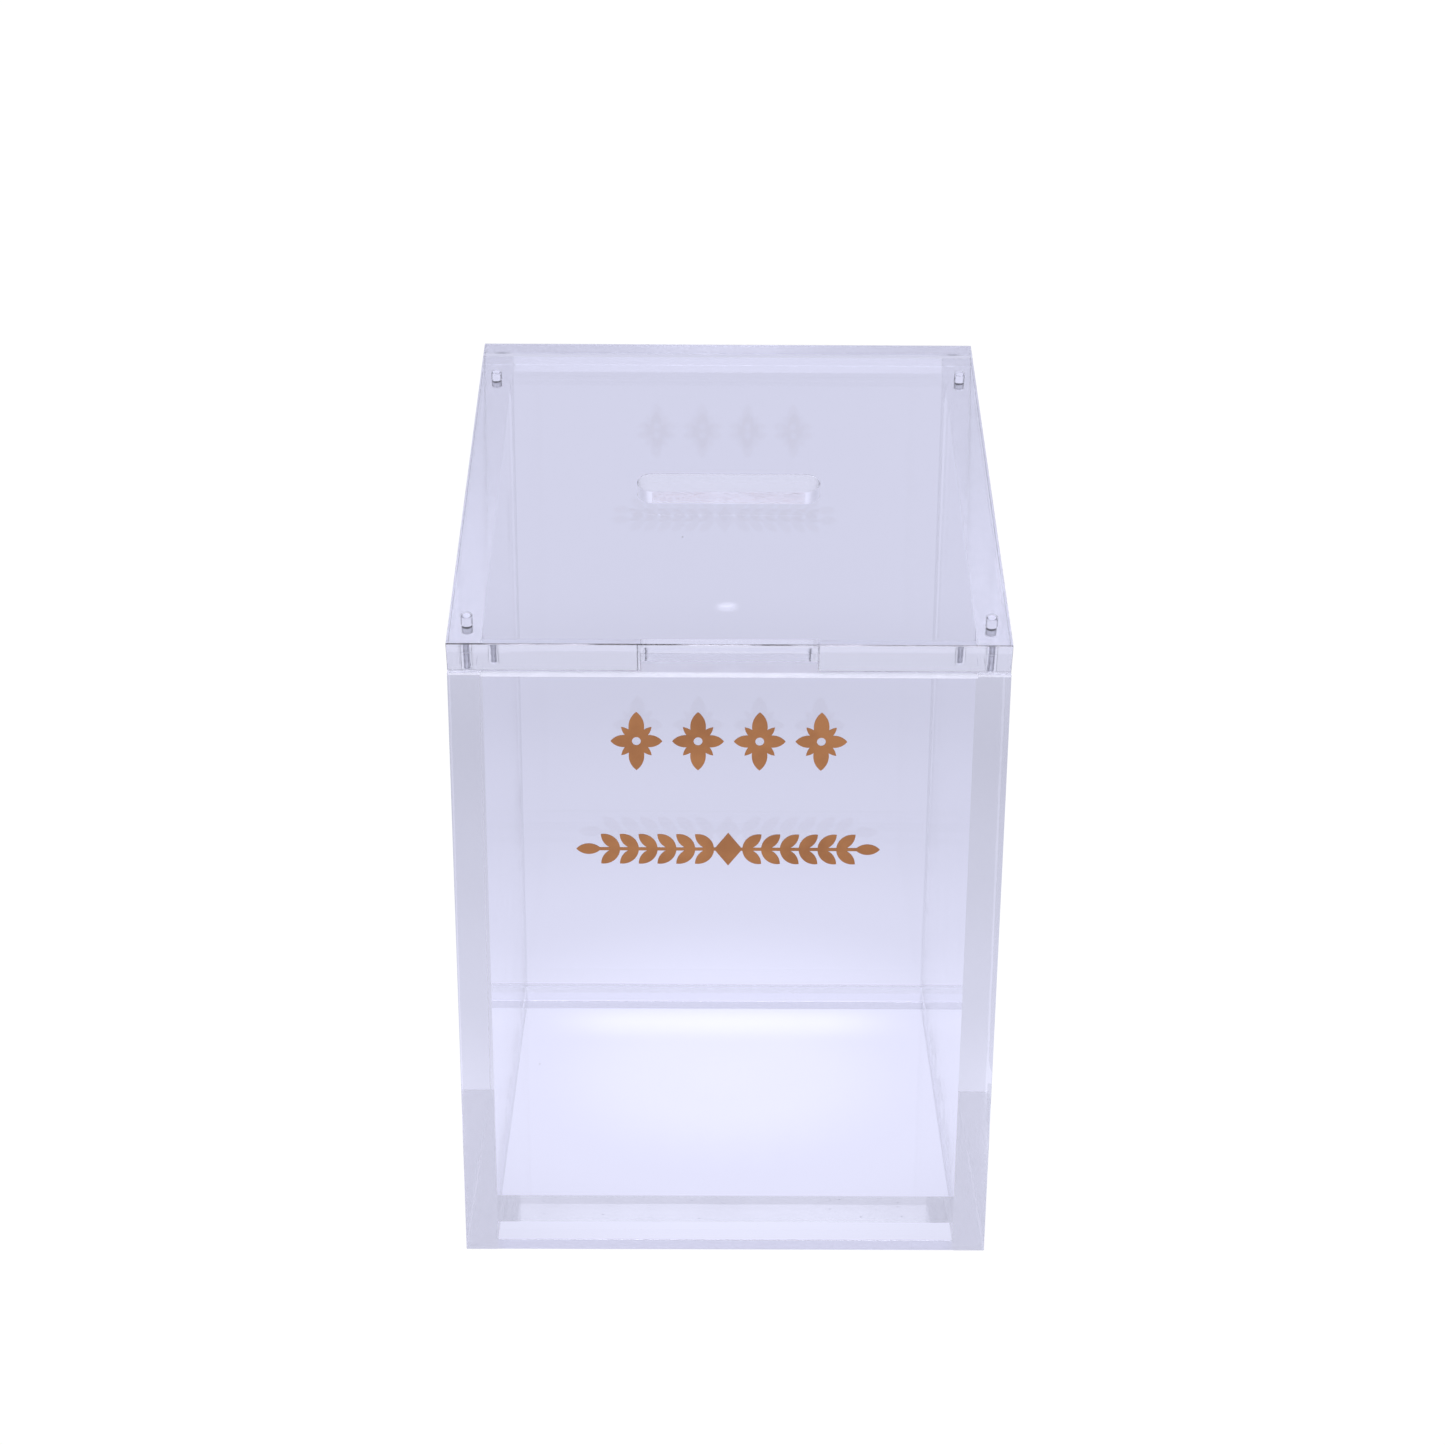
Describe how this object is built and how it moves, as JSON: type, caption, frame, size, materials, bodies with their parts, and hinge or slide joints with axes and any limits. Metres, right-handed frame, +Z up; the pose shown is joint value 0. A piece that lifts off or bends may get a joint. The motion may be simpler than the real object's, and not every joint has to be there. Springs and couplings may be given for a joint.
{
  "type": "donation box",
  "caption": "Clear acrylic tabletop collection box with a sloping lift-off lid, a rounded coin slot, a finger recess, steel locating pins and a gold ornament on the front.",
  "frame": {"origin": "centre of the footprint on the surface the box stands on", "axes": "+Z up, the low front face looks along -Y, +X to the right seen from the front"},
  "size_m": [0.1016, 0.1032, 0.1561],
  "materials": {
    "acrylic": "clear cast sheet, polished faces and edges",
    "steel": "ground stainless dowel pin",
    "gold_film": "satin gold film"
  },
  "bodies": {
    "box": {"left_side_panel": "acrylic", "right_side_panel": "acrylic", "front_panel": "acrylic", "back_panel": "acrylic", "floor_panel": "acrylic", "pin_front_left": "steel", "pin_front_right": "steel", "pin_back_left": "steel", "pin_back_right": "steel", "gold_rosette_1": "gold_film", "gold_rosette_2": "gold_film", "gold_rosette_3": "gold_film", "gold_rosette_4": "gold_film", "gold_leaf_border": "gold_film"},
    "lid": {"lid": "acrylic"}
  },
  "joints": [
    {"name": "lid_lift", "type": "slide", "parent": "box", "child": "lid", "axis": [0, -0.2756, 0.9613], "range_m": [0, 0.06]}
  ]
}
